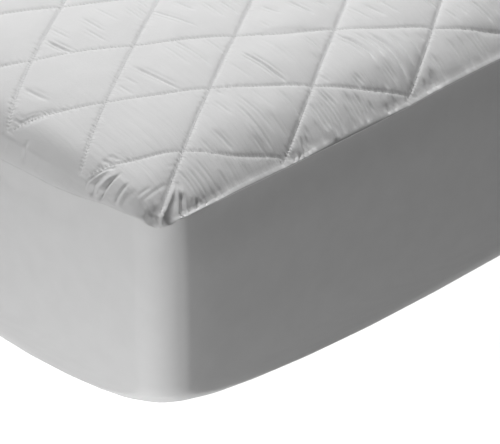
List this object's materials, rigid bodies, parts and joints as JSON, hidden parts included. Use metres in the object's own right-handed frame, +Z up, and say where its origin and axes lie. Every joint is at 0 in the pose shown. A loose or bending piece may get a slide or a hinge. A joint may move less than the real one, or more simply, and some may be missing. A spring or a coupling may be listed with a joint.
{
  "type": "quilted mattress protector on a mattress",
  "caption": "Fitted protector with a diamond-quilted padded top, raised seam and smooth stretch skirt drawn in under a plain single mattress.",
  "frame": {"origin": "middle of the footprint, on the surface that the mattress rests on", "axes": "+Z up, +Y along the length of the mattress, X across its width"},
  "size_m": [0.9014, 1.9014, 0.287],
  "materials": {
    "mattress_cover": "plain woven mattress cover, matt off-white",
    "quilt_cloth": "fine plain-woven white cloth over filling, stitched in diamonds, soft low sheen",
    "tape_cloth": "narrow white woven tape, stitched flat",
    "skirt_cloth": "smooth white stretch knit, matt"
  },
  "bodies": {
    "root": {"mattress": "mattress_cover", "quilted_top": "quilt_cloth", "seam_tape": "tape_cloth", "skirt": "skirt_cloth"}
  },
  "joints": []
}
